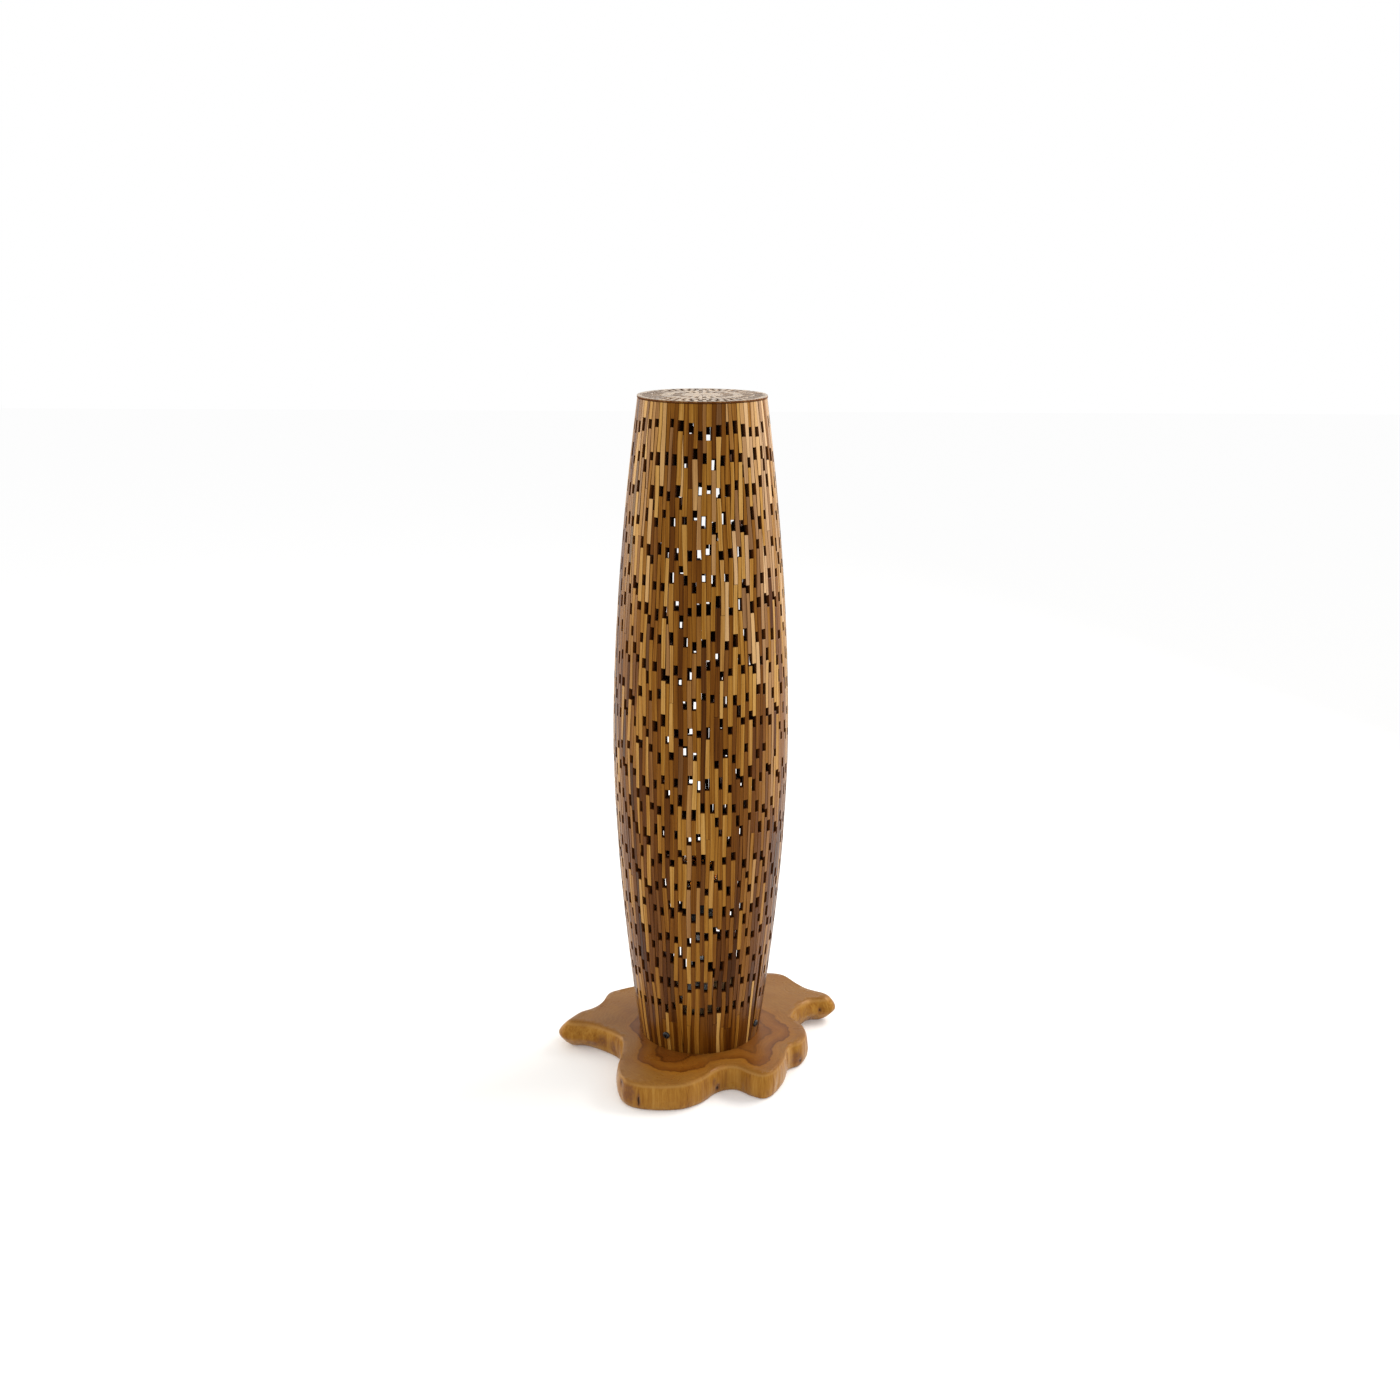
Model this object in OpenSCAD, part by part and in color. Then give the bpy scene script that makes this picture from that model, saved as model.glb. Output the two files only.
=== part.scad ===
// Teak floor lamp: a barrel-shaped shade of short glued strips with staggered windows, closed by a flat lid
// of radial strips, on a free-form slab of teak root. The lampholder and bulb stand on a plinth inside.
// +Z is up. The origin is on the floor, under the shade's axis. The lamp's front faces -Y.

/* [Whole lamp] */
// Height from the floor to the top of the lid
total_h = 1000; // [950:10:1100]
// Thickness of the base slab
slab_t = 42; // [38:1:48]

/* [Shade] */
// Outer radius of the shade at its widest
belly_r = 127; // [120:0.5:132]
// Height of the widest place above the floor
belly_z = 498; // [460:2:540]
// Outer radius of the shade under the lid
top_r = 88.6; // [84:0.2:94]
// Outer radius of the shade at its foot
foot_r = 91.2; // [86:0.2:96]
// How slowly the sides start to curve in: 2 is an arc, less is straighter towards the ends
barrel_power = 1.75; // [1.5:0.05:2]

/* [Strips] */
// Width of a full strip
strip_w = 6.3; // [6:0.1:7]
// Thickness of the strips, which is the shade's wall
strip_t = 8; // [6:0.5:10]
// Glue line between two strips
glue = 0.12; // [0.1:0.02:0.3]
// Height over which a new column of strips grows from nothing to its full width
fade = 150; // [120:10:200]

/* [Windows] */
// Mean distance from one window to the next in a column
window_pitch = 80.5; // [70:0.5:95]
// Mean height of a window
window_h = 14.5; // [11:0.5:17]
// Height of the closed band at the foot of the shade
foot_band = 70; // [60:1:80]
// Height of the closed band under the lid
head_band = 19; // [15:1:30]

/* [Lid] */
// Thickness of the lid
lid_t = 3; // [3:0.5:6]
// Gap between the lid and the strips under it, filled with glue
lid_gap = 0.6; // [0.3:0.1:1]
// Radius of the lid
lid_r = 89.2; // [85:0.2:95]

/* [Plinth] */
// Radius of the round block that the shade slides over
plinth_r = 82; // [78:0.5:82.5]
// Height of the block
plinth_h = 48; // [44:1:52]

/* [Shade screws] */
// Height of the screws above the slab
screw_rise = 26; // [22:1:30]
// Radius of a screw's head
screw_head_r = 5.5; // [4.5:0.5:6]
// Radius of a screw's shank
screw_r = 2; // [1.5:0.25:2.25]

/* [Bulb] */
// Radius of the bulb's glass
bulb_r = 30; // [25:1:32]
// Height of the tube that carries the lampholder
tube_rise = 95; // [60:5:110]
// Distance that one turn lifts the bulb: seven threads to the inch
bulb_pitch = 3.629; // [3.6:0.001:3.66]

/* [Hidden] */
$fn = 64;
sectors = 21;
function sector_name(s) = str("shade_", s < 9 ? "0" : "", s + 1);

teak = [0.66, 0.44, 0.22];
teak_pale = [0.80, 0.62, 0.38];
teak_dark = [0.42, 0.24, 0.11];
black_steel = [0.10, 0.10, 0.11];
zinc = [0.70, 0.71, 0.73];
brass = [0.80, 0.63, 0.30];
bakelite = [0.09, 0.08, 0.08];

shade_top = total_h - lid_t - lid_gap;
plinth_top = slab_t + plinth_h;
reach = 300; // farther out than anything on the lamp

// ---------------------------------------------------------------- base slab

// Outline of the slab halfway up its edge, anticlockwise from the right-hand lobe. The slab is a slice of
// root, so it follows no rule: each lobe has four to seven points, and a smooth curve runs through them.
slab_outline = [
    [220, 92], [212, 108], [180, 127], [158, 148], [140, 169], [110, 175],
    [82, 160], [50, 164], [20, 180], [-12, 183], [-42, 168], [-68, 144], [-98, 131],
    [-128, 117], [-150, 101], [-159, 72], [-190, 55], [-210, 30], [-220, 6],
    [-208, -10], [-176, -15], [-140, -27], [-122, -48], [-120, -82],
    [-123, -118], [-118, -154], [-98, -175], [-62, -183], [-22, -179], [8, -160],
    [30, -134], [52, -127], [72, -142], [94, -151], [113, -138], [130, -102],
    [138, -70], [156, -56], [167, -30], [162, 2], [148, 24],
    [156, 48], [182, 68], [211, 76]
];
// The edge's section: height as a share of the slab's thickness, and how far it stands back from the outline
slab_section = [
    [0, 6], [0.06, 3.4], [0.2, 1.2], [0.42, 0], [0.55, 0.1], [0.7, 0.6], [0.85, 1.8], [0.95, 3.8], [1, 6.5]
];
curve_steps = 3;
// The two long lobes are blunt noses: above and below their widest height, the outline is drawn in to these
// points, by the given shares of the way at the top and at the floor
lobe_hearts = [[172, 98], [-178, 22]];
lobe_reach = 60;
lobe_widest = 0.55;
lobe_top_draw = [0.3, 0.45];
lobe_floor_draw = [0.6, 0.45];

// A point on the closed curve through the outline's points
function slab_curve(t) =
    let (n = len(slab_outline), i = floor(t), u = t - i,
         a = slab_outline[(i + n - 1) % n], b = slab_outline[i % n],
         c = slab_outline[(i + 1) % n], d = slab_outline[(i + 2) % n])
    0.5 * (2 * b + (c - a) * u + (2 * a - 5 * b + 4 * c - d) * u * u + (3 * b - a - 3 * c + d) * u * u * u);

function unit(v) = v / norm(v);

// The same point moved back at a right angle to the curve
function slab_inset(t, back) =
    let (n = len(slab_outline), along = unit(slab_curve((t + 0.05) % n) - slab_curve((t - 0.05 + n) % n)))
    slab_curve(t) + back * [-along[1], along[0]];

// The point p of the outline at the height h (a share of the thickness), drawn in if it is on a long lobe
function slab_nose(p, h) =
    let (below = pow(max(0, 1 - h / lobe_widest), 1.3),
         above = pow(max(0, h - lobe_widest) / (1 - lobe_widest), 1.5),
         pulls = [for (k = [0, 1])
             let (heart = lobe_hearts[k], draw = lobe_floor_draw[k] * below + lobe_top_draw[k] * above)
             smooth(1.4 - norm(p - heart) / lobe_reach) * draw * (heart - p)])
    p + pulls[0] + pulls[1];

module slab_body() {
    count = len(slab_outline) * curve_steps;
    rows = len(slab_section);
    points = [
        for (row = slab_section) for (i = [0 : count - 1])
            let (p = slab_nose(slab_inset(i / curve_steps, row[1]), row[0])) [p[0], p[1], row[0] * slab_t]
    ];
    sides = [
        for (k = [0 : rows - 2]) for (i = [0 : count - 1])
            let (j = (i + 1) % count) [k * count + i, (k + 1) * count + i, (k + 1) * count + j, k * count + j]
    ];
    bottom = [[for (i = [0 : count - 1]) i]];
    top = [[for (i = [count - 1 : -1 : 0]) (rows - 1) * count + i]];
    polyhedron(points, concat(sides, bottom, top), convexity = 8);
}

cable_r = 5;
groove_w = 12;
groove_h = 10;
chamber_r = 28;
chamber_h = 18;
// Where the groove comes out, at the back of the slab
groove_end_y = 175.5;

plinth_screw_angles = [30, 150, 270]; // clear of the cable's groove
plinth_screw_ring = 55;
plinth_screw_r = 2.5;
plinth_screw_head_r = 5.2;
plinth_screw_sunk = 12;
plinth_screw_bite = 28; // how far the screws reach into the plinth
slack = 0.1; // between a pin and its hole

module base_slab() {
    color(teak) difference() {
        slab_body();
        // chamber under the middle, groove to the back edge, and the way up for the cable
        translate([0, 0, -1]) cylinder(r = chamber_r, h = chamber_h + 1);
        translate([-groove_w / 2, 0, -1]) cube([groove_w, reach, groove_h + 1]);
        cylinder(r = cable_r, h = slab_t + 1);
        for (a = plinth_screw_angles) rotate(a) translate([plinth_screw_ring, 0, -1]) {
            cylinder(r = plinth_screw_r + slack, h = slab_t + 2);
            cylinder(r = plinth_screw_head_r + 0.6, h = plinth_screw_sunk + 1);
        }
    }
}

module cable_grommet() {
    wall = 3;
    color([0.12, 0.12, 0.12]) intersection() {
        translate([0, groove_end_y - wall, groove_h / 2]) rotate([-90, 0, 0]) difference() {
            linear_extrude(wall) square([groove_w, groove_h], center = true);
            translate([0, 0, -1]) cylinder(r = 3.2, h = wall + 2);
        }
        translate([-reach, 0, 0]) cube([2 * reach, reach, groove_h]);
    }
}

// ---------------------------------------------------------------- plinth and its screws

module plinth() {
    color(teak_pale) difference() {
        translate([0, 0, slab_t]) cylinder(r = plinth_r, h = plinth_h, $fn = 96);
        translate([0, 0, slab_t - 1]) cylinder(r = cable_r, h = plinth_h + 2);
        for (a = plinth_screw_angles)
            rotate(a) translate([plinth_screw_ring, 0, slab_t - 1])
                cylinder(r = plinth_screw_r + slack, h = plinth_screw_bite + 1);
        for (side = [-1, 1])
            translate([side * bracket_hole_x, 0, plinth_top - bracket_screw_l])
                cylinder(r = bracket_screw_r + slack, h = bracket_screw_l + 1);
        place_shade_screws() cylinder(r = screw_r + slack, h = shade_screw_l);
    }
}

module plinth_screws() {
    head_h = 3.2;
    length = slab_t + plinth_screw_bite - plinth_screw_sunk + head_h - 2;
    color(zinc) for (a = plinth_screw_angles)
        rotate(a) translate([plinth_screw_ring, 0, plinth_screw_sunk - head_h]) difference() {
            union() {
                cylinder(r = plinth_screw_head_r, h = head_h);
                cylinder(r = plinth_screw_r, h = length);
            }
            cross_recess(1.1, 3.2, 2);
        }
}

// A cross recess, sunk into the face at z = 0
module cross_recess(blade, span, depth) {
    for (a = [0, 90]) rotate(a) translate([-span, -blade / 2, -1]) cube([2 * span, blade, depth + 1]);
}

// ---------------------------------------------------------------- shade screws

// Directions of the four screws round the shade, from the front, clockwise as seen from above
shade_screw_angles = [-31, 62, 150, 240];
screw_head_h = 3.2;
shade_screw_l = 32;
screw_z = slab_t + screw_rise;
// The shade leans outwards at its foot, and the screws stand square to it
screw_lean = atan((shade_r(screw_z + 5) - shade_r(screw_z - 5)) / 10);

// Puts its children at each screw: z = 0 is under the head, and +z points into the plinth
module place_shade_screws() {
    for (a = shade_screw_angles)
        rotate(a) translate([0, -shade_r(screw_z) - 0.15, screw_z]) rotate([-90 + screw_lean, 0, 0]) children();
}

module shade_screws() {
    color(black_steel) place_shade_screws() {
        difference() {
            translate([0, 0, -screw_head_h]) rotate_extrude()
                polygon([
                    [0, 0],
                    for (a = [90 : -15 : 0]) [screw_head_r - 2 * (1 - cos(a)), 2 * (1 - sin(a))],
                    [screw_head_r, screw_head_h], [0, screw_head_h]
                ]);
            translate([0, 0, -screw_head_h]) cross_recess(1.2, 3, 1.8);
        }
        cylinder(r = screw_r, h = shade_screw_l - 1);
    }
}

// ---------------------------------------------------------------- shade

// Outer radius of the shade at height z
function shade_r(z) =
    let (above = z > belly_z,
         end_r = above ? top_r : foot_r,
         t = above ? (z - belly_z) / (shade_top - belly_z) : (belly_z - z) / (belly_z - slab_t))
    belly_r - (belly_r - end_r) * pow(min(t, 1.05), barrel_power);

// Enough columns of strips to go round the belly. Towards the ends fewer fit, and some columns taper out.
columns = floor(2 * PI * belly_r / strip_w);
golden = 0.618034;

// The radius that the shade must have before column j has room. The golden ratio spreads them round the shade.
room_r = [for (j = [0 : columns - 1]) ((j * golden) % 1) * belly_r];

// Height at which the shade reaches that radius, towards one end. A column that fits everywhere runs past it.
function taper_z(j, end_r, end_z) =
    room_r[j] < end_r ? belly_z + 3 * (end_z - belly_z)
        : belly_z + (end_z - belly_z) * pow((belly_r - room_r[j]) / (belly_r - end_r), 1 / barrel_power);
low_z = [for (j = [0 : columns - 1]) taper_z(j, foot_r, slab_t)];
high_z = [for (j = [0 : columns - 1]) taper_z(j, top_r, shade_top)];

function smooth(x) = let (u = min(max(x, 0), 1)) u * u * (3 - 2 * u);

// Width of column j at height z, as a share of a full strip
function share(j, z) = smooth((z - low_z[j]) / fade + 0.5) * smooth((high_z[j] - z) / fade + 0.5);

// Direction of the left edge of column j at height z
function edge(j, z) =
    let (widths = [for (i = [0 : columns - 1]) share(i, z)],
         all = [for (i = [0 : columns - 1]) 1],
         before = [for (i = [0 : columns - 1]) i < j ? 1 : 0])
    360 * (widths * before) / (widths * all);

// A tapering column starts and ends where it is this share of the fade away from half its width
tip = 0.3;
past_end = 3; // the strips at the two ends are cut off level
function column_start(j) = max(slab_t - past_end, low_z[j] - tip * fade);
function column_end(j) = min(shade_top + past_end, high_z[j] + tip * fade);

// Windows stand as in brickwork: neighbouring columns are half a pitch apart, and a column that is there only
// round the belly is a quarter of a pitch from both its neighbours.
whole = [for (r = room_r) r < foot_r ? 1 : 0];
function stagger(j) =
    let (rank = whole * [for (i = [0 : columns - 1]) i < j ? 1 : 0])
    (rank % 2) / 2 + (whole[j] == 1 ? 0 : 0.25);

// The windows of column j, each as its lower and upper height
least_strip = 14;
butt = 0.25; // a window this low is only a butt joint
window_drift = 9; // how far a window may stray up or down
foot_drift = 4; // the same for the lowest row
window_vary = 4; // how much a window may be taller or lower than the mean
foot_joint_z = slab_t + 48; // some columns have a butt joint in the closed band
function windows(j) =
    let (count = ceil((shade_top - slab_t) / window_pitch) + 1,
         luck = rands(-1, 1, 3 * count + 2, j + 11),
         first = slab_t + foot_band + window_h / 2 + stagger(j) * window_pitch,
         low = max(column_start(j) + least_strip, slab_t + foot_band - foot_drift - window_vary / 2),
         high = min(column_end(j) - least_strip, shade_top - head_band))
    [
        if (luck[3 * count] > 0.3 && column_start(j) < slab_t)
            let (z = foot_joint_z + 12 * luck[3 * count + 1]) [z, z + butt],
        for (k = [0 : count - 1])
            let (middle = first + k * window_pitch + luck[3 * k] * (k == 0 ? foot_drift : window_drift),
                 h = luck[3 * k + 2] > 0.92 ? butt : window_h + luck[3 * k + 1] * window_vary)
            if (middle - h / 2 > low && middle + h / 2 < high) [middle - h / 2, middle + h / 2]
    ];

// The strips of column j, each as its lower and upper height
function strips(j) =
    let (w = windows(j), n = len(w))
    [
        for (k = [0 : n])
            [k == 0 ? column_start(j) : w[k - 1][1], k == n ? column_end(j) : w[k][0]]
    ];

// One straight strip of column j from height z0 to z1. Its sides are parallel through the wall, as sawn, so it
// is made as wide as there is room for on the inside.
module strip(j, z0, z1) {
    zm = (z0 + z1) / 2;
    left = [edge(j, z0), edge(j, zm), edge(j, z1)];
    right = [edge(j + 1, z0), edge(j + 1, zm), edge(j + 1, z1)];
    r0 = shade_r(z0);
    r1 = shade_r(z1);
    lean = atan((r1 - r0) / (z1 - z0));
    facing = (left[1] + right[1]) / 2;
    inner0 = r0 - strip_t;
    inner1 = r1 - strip_t;
    // a side that is hollow between its ends moves in, so that the straight strip keeps to its column
    in_left = max(0, left[1] - (left[0] + left[2]) / 2) * inner0 * PI / 180 + glue / 2;
    in_right = max(0, (right[0] + right[2]) / 2 - right[1]) * inner0 * PI / 180 + glue / 2;
    x0 = [inner0 * tan(left[0] - facing) + in_left, inner0 * tan(right[0] - facing) - in_right];
    x1 = [inner1 * tan(left[2] - facing) + in_left, inner1 * tan(right[2] - facing) - in_right];
    least = 0.25;
    half0 = max(least, x0[1] - x0[0]) / 2;
    half1 = max(least, x1[1] - x1[0]) / 2;
    mid0 = (x0[0] + x0[1]) / 2;
    mid1 = (x1[0] + x1[1]) / 2;
    length = (z1 - z0) / cos(lean);
    rotate(facing) translate([0, -r0, z0]) rotate([90 + lean, 0, 0]) translate([0, 0, -strip_t])
        linear_extrude(strip_t)
            polygon([[mid0 - half0, 0], [mid0 + half0, 0], [mid1 + half1, length], [mid1 - half1, length]]);
}

function wood_tone(k) = [teak, teak_pale, teak_dark][k % 3];

module shade_sector(s) {
    first = round(s * columns / sectors);
    last = round((s + 1) * columns / sectors) - 1;
    color(wood_tone(s)) difference() {
        intersection() {
            for (j = [first : last]) for (piece = strips(j)) strip(j, piece[0], piece[1]);
            translate([0, 0, slab_t]) cylinder(r = reach, h = shade_top - slab_t);
        }
        place_shade_screws() cylinder(r = screw_r + 0.2, h = 2 * strip_t);
    }
}

// ---------------------------------------------------------------- lid

// The lid's strips fan out from the middle, and each ring of columns has twice as many as the one inside it
lid_columns = 11;
lid_rings = [2, lid_r * 0.14, lid_r * 0.28, lid_r * 0.55, lid_r];
lid_window = 13;
least_lid_strip = 4; // the shortest piece between a ring's inner edge and a window

// One radial strip from radius a to radius b in the column that spans the angles t0 to t1
module lid_strip(a, b, t0, t1) {
    half = (t1 - t0) / 2;
    side = glue / 2;
    rotate((t0 + t1) / 2) translate([0, 0, total_h - lid_t]) linear_extrude(lid_t)
        polygon([
            [a * sin(half) - side, -a * cos(half)], [b * sin(half) - side, -b * cos(half)],
            [-b * sin(half) + side, -b * cos(half)], [-a * sin(half) + side, -a * cos(half)]
        ]);
}

// Ring k: every column has one window, and neighbours have theirs at different radii
module lid_ring(k) {
    count = lid_columns * pow(2, k);
    a = lid_rings[k] + glue;
    b = lid_rings[k + 1];
    for (i = [0 : count - 1]) {
        t0 = 360 * i / count;
        t1 = 360 * (i + 1) / count;
        luck = rands(-1, 1, 2, 40 * k + i + 5);
        h = lid_window / 2 + luck[1];
        middle = max(a + (b - a) * (i % 2 == 0 ? 0.34 : 0.70) + luck[0] * 2, a + h + least_lid_strip);
        if (k < 2 || (k == 2 && i % 2 == 1)) lid_strip(a, b, t0, t1);
        else {
            lid_strip(a, middle - h, t0, t1);
            lid_strip(middle + h, b, t0, t1);
        }
    }
}

module lid_centre() {
    color(teak_pale) {
        translate([0, 0, total_h - lid_t]) cylinder(r = lid_rings[0] - glue, h = lid_t, $fn = 32);
        lid_ring(0);
        lid_ring(1);
    }
}

module lid_middle() {
    color(teak) lid_ring(2);
}

module lid_rim() {
    color(teak_pale) lid_ring(3);
}

// ---------------------------------------------------------------- lampholder

bracket_t = 1.5;
bracket_w = 24;
bracket_rise = 12;
bracket_hole_x = 31;
bracket_screw_r = 1.75;
bracket_screw_l = 16;
tube_r = 5;
tube_bore = 3.3;
bracket_top = plinth_top + bracket_rise + bracket_t;
holder_r = 20;
cap_h = 22;
body_h = 40;
holder_z = bracket_top + tube_rise;
body_z = holder_z + cap_h;
shell_r = 13.5; // inside of the holder's screw shell
tip_z = body_z + 7; // where the bulb's tip meets the centre contact

module holder_bracket() {
    foot_in = 22;
    foot_out = 40;
    color(zinc) translate([0, 0, plinth_top]) difference() {
        union() {
            translate([-foot_in, -bracket_w / 2, bracket_rise]) cube([2 * foot_in, bracket_w, bracket_t]);
            for (side = [-1, 1]) {
                translate([side * (foot_in - bracket_t / 2) - bracket_t / 2, -bracket_w / 2, 0])
                    cube([bracket_t, bracket_w, bracket_rise + bracket_t]);
                translate([side * (foot_in + foot_out) / 2 - (foot_out - foot_in) / 2, -bracket_w / 2, 0])
                    cube([foot_out - foot_in, bracket_w, bracket_t]);
            }
        }
        cylinder(r = tube_r + slack, h = bracket_rise + 2 * bracket_t);
        for (side = [-1, 1])
            translate([side * bracket_hole_x, 0, -1]) cylinder(r = bracket_screw_r + slack, h = bracket_t + 2);
    }
}

module bracket_screws() {
    head_r = 3.6;
    head_h = 2.4;
    color(zinc) for (side = [-1, 1]) translate([side * bracket_hole_x, 0, plinth_top + bracket_t])
        difference() {
            union() {
                rotate_extrude()
                    polygon([[0, 0], [head_r, 0], [head_r, head_h / 2], [head_r - 1.2, head_h], [0, head_h]]);
                translate([0, 0, 1 - bracket_screw_l - bracket_t])
                    cylinder(r = bracket_screw_r, h = bracket_screw_l + bracket_t - 1);
            }
            translate([0, 0, head_h]) mirror([0, 0, 1]) cross_recess(0.9, 2.2, 1.4);
        }
}

module holder_tube() {
    below = 8;
    above = 6;
    color(zinc) translate([0, 0, bracket_top - below]) difference() {
        cylinder(r = tube_r, h = below + tube_rise + above);
        translate([0, 0, -1]) cylinder(r = tube_bore, h = below + tube_rise + above + 2);
    }
}

// Nuts clamp the tube to the bracket from both sides, and a third one locks the holder
module tube_nuts() {
    nut_h = 3;
    color(zinc) for (z = [bracket_top - bracket_t - nut_h, bracket_top, holder_z - nut_h])
        translate([0, 0, z]) difference() {
            cylinder(r = 8, h = nut_h, $fn = 6);
            translate([0, 0, -1]) cylinder(r = tube_r + slack, h = nut_h + 2);
        }
}

module holder_cap() {
    wall = 2;
    color(bakelite) translate([0, 0, holder_z]) rotate_extrude()
        polygon([
            [tube_r + slack, 0], [12, 0],
            for (a = [0 : 15 : 90]) [12 + (holder_r - 12) * sin(a), 8 * (1 - cos(a))],
            [holder_r, cap_h], [holder_r - wall, cap_h],
            [holder_r - wall, 9], [12, wall + 1], [9, wall + 1], [9, 7], [tube_r + slack, 7]
        ]);
}

module holder_body() {
    flange_r = 23;
    color(bakelite) translate([0, 0, body_z]) rotate_extrude()
        polygon([
            [16.5, 0], [holder_r, 0], [holder_r, 12], [holder_r - 1, 12.5], [holder_r - 1, 15], [holder_r, 15.5],
            [holder_r, 28], [flange_r, 28], [flange_r, 31], [19, 31], [19, body_h],
            [15.5, body_h], [15.5, 4], [16.5, 4]
        ]);
}

module holder_insert() {
    color([0.96, 0.95, 0.92]) translate([0, 0, body_z - 9]) difference() {
        cylinder(r = 16, h = 12);
        translate([0, 0, 10]) cylinder(r = 12, h = 3);
        for (side = [-1, 1]) translate([side * 11, 0, -1]) cylinder(r = 1.6, h = 8);
        for (side = [-1, 1]) translate([side * 6, 0, -1]) cylinder(r = 1.5, h = 14);
    }
}

module screw_shell() {
    wall = 0.5;
    color(brass) translate([0, 0, body_z + 4.2]) difference() {
        cylinder(r = shell_r + wall, h = 26);
        translate([0, 0, wall]) cylinder(r = shell_r, h = 26);
        translate([0, 0, -1]) cylinder(r = 8, h = 4);
    }
}

module centre_contact() {
    strip = 0.6;
    color(brass) translate([0, -3, body_z]) rotate([-90, 0, 0]) mirror([0, 1, 0]) linear_extrude(6)
        polygon([
            [-5, 1], [5, 1], [5, 1 + strip], [-4, 1 + strip], [3, tip_z - body_z - strip],
            [3, tip_z - body_z], [-1.5, tip_z - body_z], [-5, 1 + strip]
        ]);
}

module terminal_screws() {
    color(brass) for (side = [-1, 1]) translate([side * 11, 0, body_z - 11]) difference() {
        union() {
            cylinder(r = 2.6, h = 1.8);
            cylinder(r = 1.6, h = 8);
        }
        translate([-3, -0.4, -1]) cube([6, 0.8, 2]);
    }
}

// ---------------------------------------------------------------- bulb

tip_h = 1.8;
insulator_h = 4;
cap_low = tip_z + tip_h + insulator_h;
thread_turns = 5;
cap_crest_r = 13.1;
cap_root_r = 12.1;
cap_top = cap_low + (thread_turns + 0.5) * bulb_pitch;
glass_neck_r = 13.4;
glass_wall = 1;
flare_h = 46; // height over which the glass widens to the full radius

module bulb_tip() {
    color(zinc) translate([0, 0, tip_z]) rotate_extrude()
        polygon([[0, 0], [2.5, 0], [4.2, 0.9], [4.6, tip_h], [0, tip_h]]);
}

module bulb_insulator() {
    color([0.08, 0.08, 0.09]) translate([0, 0, tip_z + tip_h]) rotate_extrude()
        polygon([[0, 0], [5, 0], [10.4, insulator_h], [0, insulator_h]]);
}

module bulb_cap() {
    steps = 6;
    color(zinc) translate([0, 0, cap_low]) rotate_extrude()
        polygon([
            [0, 0], [10.4, 0],
            for (i = [0 : thread_turns * steps])
                [(cap_crest_r + cap_root_r) / 2 - (cap_crest_r - cap_root_r) / 2 * cos(360 * i / steps),
                 0.5 + i * bulb_pitch / steps],
            [cap_crest_r - 0.2, (thread_turns + 0.5) * bulb_pitch], [0, (thread_turns + 0.5) * bulb_pitch]
        ]);
}

// Radius and height of points up the glass, moved in by the amount inset
function glass_line(inset) =
    let (steps = 10, arcs = 14)
    [
        for (i = [0 : steps]) let (u = i / steps)
            [glass_neck_r + (bulb_r - glass_neck_r) * smooth(u) - inset, u * flare_h],
        for (i = [1 : arcs]) let (a = 90 * i / arcs)
            [(bulb_r - inset) * cos(a), flare_h + (bulb_r - inset) * sin(a)]
    ];

module bulb_glass() {
    outer = glass_line(0);
    inner = glass_line(glass_wall);
    color([0.75, 0.5, 0.2, 0.5]) translate([0, 0, cap_top]) rotate_extrude()
        polygon(concat(outer, [for (i = [len(inner) - 1 : -1 : 0]) inner[i]]));
}

stem_top = 34; // height of the glass stem above the cap
joint = 0.05; // between pieces of the bulb that are joined

module bulb_stem() {
    color([0.85, 0.9, 0.88, 0.5]) translate([0, 0, cap_top]) rotate_extrude()
        polygon([
            [0, joint], [11.5, joint], [10, 4], [6, 9], [4.2, 15], [3.6, 22], [1.8, 25], [1.6, stem_top - 2],
            [0, stem_top]
        ]);
}

filament_n = 4;
filament_r = 0.9;
filament_low = [9, 22]; // distance from the axis and height above the cap
filament_high = [14, 60];

// Wires from the stem carry the filaments at both ends
module bulb_wires() {
    wire_r = 0.4;
    stalk_z = filament_high[1] + 2;
    color(zinc) translate([0, 0, cap_top]) {
        translate([0, 0, stem_top + joint]) cylinder(r = wire_r, h = stalk_z - stem_top);
        for (i = [0 : filament_n - 1]) rotate(360 * i / filament_n) {
            rod([0, stalk_z - 0.4], filament_high, wire_r);
            rod([4.5, filament_low[1] - 3.5], filament_low, wire_r);
        }
    }
}

module bulb_filaments() {
    gap = 0.5;
    along = unit(filament_high - filament_low);
    color([0.95, 0.75, 0.2]) translate([0, 0, cap_top]) for (i = [0 : filament_n - 1])
        rotate(360 * i / filament_n) rod(filament_low + gap * along, filament_high - gap * along, filament_r);
}

// A round rod between two points, each given as its distance from the axis and its height
module rod(from, to, r) {
    v = to - from;
    translate([from[0], 0, from[1]]) rotate([0, atan2(v[0], v[1]), 0]) cylinder(r = r, h = norm(v), $fn = 16);
}

// ---------------------------------------------------------------- drawing

base_slab();
plinth();
plinth_screws();
shade_screws();
cable_grommet();
for (s = [0 : sectors - 1]) shade_sector(s);
lid_centre();
lid_middle();
lid_rim();
holder_bracket();
bracket_screws();
holder_tube();
tube_nuts();
holder_cap();
holder_body();
holder_insert();
screw_shell();
centre_contact();
terminal_screws();
bulb_tip();
bulb_insulator();
bulb_cap();
bulb_glass();
bulb_stem();
bulb_wires();
bulb_filaments();
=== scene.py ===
import math
import random

import bmesh
import bpy
import numpy as np
from mathutils import Euler, Matrix, Vector, geometry, noise


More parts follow.
